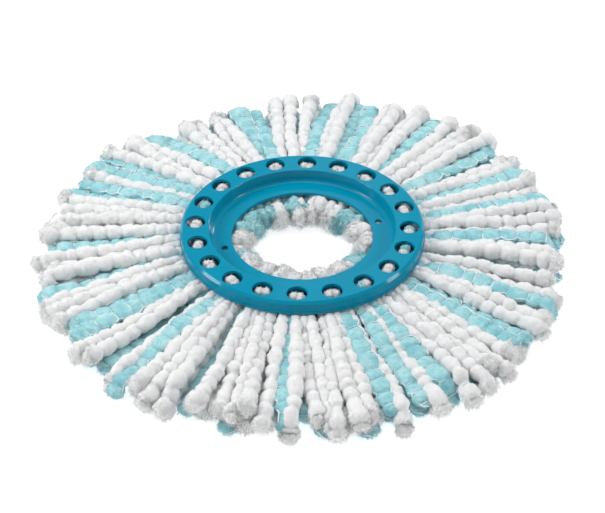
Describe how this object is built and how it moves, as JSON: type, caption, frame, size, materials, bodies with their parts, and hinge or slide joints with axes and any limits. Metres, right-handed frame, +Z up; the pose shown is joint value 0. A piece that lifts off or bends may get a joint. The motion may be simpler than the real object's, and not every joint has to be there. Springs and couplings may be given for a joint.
{
  "type": "spin mop replacement head",
  "caption": "Round spin mop head: a glossy ring-shaped plastic carrier with tufts of white and turquoise microfibre yarn clamped in it, fanned out flat all round.",
  "frame": {"origin": "on the floor, under the centre of the rings", "axes": "+Z up along the rings' axis; +X through the first tuft"},
  "size_m": [0.33, 0.33, 0.025],
  "materials": {
    "ring_plastic": "glossy moulded plastic, teal blue",
    "white_yarn": "white microfibre chenille, beaded and fluffy",
    "turquoise_tape": "turquoise microfibre tape, held by white lock-stitch thread",
    "stitch_thread": "thin white polyester thread"
  },
  "bodies": {
    "head": {"upper_ring": "ring_plastic", "lower_ring": "ring_plastic", "white_clamped_tufts": "white_yarn", "turquoise_clamped_tufts": "turquoise_tape"},
    "fan_01": {"white_strands_01": "white_yarn", "turquoise_strands_01": "turquoise_tape"},
    "fan_02": {"white_strands_02": "white_yarn", "turquoise_strands_02": "turquoise_tape"},
    "fan_03": {"white_strands_03": "white_yarn", "turquoise_strands_03": "turquoise_tape"},
    "fan_04": {"white_strands_04": "white_yarn", "turquoise_strands_04": "turquoise_tape"},
    "fan_05": {"white_strands_05": "white_yarn", "turquoise_strands_05": "turquoise_tape"},
    "fan_06": {"white_strands_06": "white_yarn", "turquoise_strands_06": "turquoise_tape"},
    "fan_07": {"white_strands_07": "white_yarn", "turquoise_strands_07": "turquoise_tape"},
    "fan_08": {"white_strands_08": "white_yarn", "turquoise_strands_08": "turquoise_tape"},
    "fan_09": {"white_strands_09": "white_yarn", "turquoise_strands_09": "turquoise_tape"},
    "fan_10": {"white_strands_10": "white_yarn", "turquoise_strands_10": "turquoise_tape"},
    "fan_11": {"white_strands_11": "white_yarn", "turquoise_strands_11": "turquoise_tape"},
    "fan_12": {"white_strands_12": "white_yarn", "turquoise_strands_12": "turquoise_tape"},
    "fan_13": {"white_strands_13": "white_yarn", "turquoise_strands_13": "turquoise_tape"},
    "fan_14": {"white_strands_14": "white_yarn", "turquoise_strands_14": "turquoise_tape"},
    "fan_15": {"white_strands_15": "white_yarn", "turquoise_strands_15": "turquoise_tape"},
    "fan_16": {"white_strands_16": "white_yarn", "turquoise_strands_16": "turquoise_tape"},
    "fan_17": {"white_strands_17": "white_yarn", "turquoise_strands_17": "turquoise_tape"},
    "fan_18": {"white_strands_18": "white_yarn", "turquoise_strands_18": "turquoise_tape"},
    "fan_19": {"white_strands_19": "white_yarn", "turquoise_strands_19": "turquoise_tape"},
    "fan_20": {"white_strands_20": "white_yarn", "turquoise_strands_20": "turquoise_tape"}
  },
  "joints": [
    {"name": "fan_01_bend", "type": "hinge", "parent": "head", "child": "fan_01", "pos_m": [0.077, 0, 0.0112], "axis": [0, -1, 0], "range_deg": [-45, 12]},
    {"name": "fan_02_bend", "type": "hinge", "parent": "head", "child": "fan_02", "pos_m": [0.07323, 0.02379, 0.0112], "axis": [0.309, -0.9511, 0], "range_deg": [-45, 12]},
    {"name": "fan_03_bend", "type": "hinge", "parent": "head", "child": "fan_03", "pos_m": [0.06229, 0.04526, 0.0112], "axis": [0.5878, -0.809, 0], "range_deg": [-45, 12]},
    {"name": "fan_04_bend", "type": "hinge", "parent": "head", "child": "fan_04", "pos_m": [0.04526, 0.06229, 0.0112], "axis": [0.809, -0.5878, 0], "range_deg": [-45, 12]},
    {"name": "fan_05_bend", "type": "hinge", "parent": "head", "child": "fan_05", "pos_m": [0.02379, 0.07323, 0.0112], "axis": [0.9511, -0.309, 0], "range_deg": [-45, 12]},
    {"name": "fan_06_bend", "type": "hinge", "parent": "head", "child": "fan_06", "pos_m": [0, 0.077, 0.0112], "axis": [1, 0, 0], "range_deg": [-45, 12]},
    {"name": "fan_07_bend", "type": "hinge", "parent": "head", "child": "fan_07", "pos_m": [-0.02379, 0.07323, 0.0112], "axis": [0.9511, 0.309, 0], "range_deg": [-45, 12]},
    {"name": "fan_08_bend", "type": "hinge", "parent": "head", "child": "fan_08", "pos_m": [-0.04526, 0.06229, 0.0112], "axis": [0.809, 0.5878, 0], "range_deg": [-45, 12]},
    {"name": "fan_09_bend", "type": "hinge", "parent": "head", "child": "fan_09", "pos_m": [-0.06229, 0.04526, 0.0112], "axis": [0.5878, 0.809, 0], "range_deg": [-45, 12]},
    {"name": "fan_10_bend", "type": "hinge", "parent": "head", "child": "fan_10", "pos_m": [-0.07323, 0.02379, 0.0112], "axis": [0.309, 0.9511, 0], "range_deg": [-45, 12]},
    {"name": "fan_11_bend", "type": "hinge", "parent": "head", "child": "fan_11", "pos_m": [-0.077, 0, 0.0112], "axis": [0, 1, 0], "range_deg": [-45, 12]},
    {"name": "fan_12_bend", "type": "hinge", "parent": "head", "child": "fan_12", "pos_m": [-0.07323, -0.02379, 0.0112], "axis": [-0.309, 0.9511, 0], "range_deg": [-45, 12]},
    {"name": "fan_13_bend", "type": "hinge", "parent": "head", "child": "fan_13", "pos_m": [-0.06229, -0.04526, 0.0112], "axis": [-0.5878, 0.809, 0], "range_deg": [-45, 12]},
    {"name": "fan_14_bend", "type": "hinge", "parent": "head", "child": "fan_14", "pos_m": [-0.04526, -0.06229, 0.0112], "axis": [-0.809, 0.5878, 0], "range_deg": [-45, 12]},
    {"name": "fan_15_bend", "type": "hinge", "parent": "head", "child": "fan_15", "pos_m": [-0.02379, -0.07323, 0.0112], "axis": [-0.9511, 0.309, 0], "range_deg": [-45, 12]},
    {"name": "fan_16_bend", "type": "hinge", "parent": "head", "child": "fan_16", "pos_m": [0, -0.077, 0.0112], "axis": [-1, 0, 0], "range_deg": [-45, 12]},
    {"name": "fan_17_bend", "type": "hinge", "parent": "head", "child": "fan_17", "pos_m": [0.02379, -0.07323, 0.0112], "axis": [-0.9511, -0.309, 0], "range_deg": [-45, 12]},
    {"name": "fan_18_bend", "type": "hinge", "parent": "head", "child": "fan_18", "pos_m": [0.04526, -0.06229, 0.0112], "axis": [-0.809, -0.5878, 0], "range_deg": [-45, 12]},
    {"name": "fan_19_bend", "type": "hinge", "parent": "head", "child": "fan_19", "pos_m": [0.06229, -0.04526, 0.0112], "axis": [-0.5878, -0.809, 0], "range_deg": [-45, 12]},
    {"name": "fan_20_bend", "type": "hinge", "parent": "head", "child": "fan_20", "pos_m": [0.07323, -0.02379, 0.0112], "axis": [-0.309, -0.9511, 0], "range_deg": [-45, 12]}
  ]
}
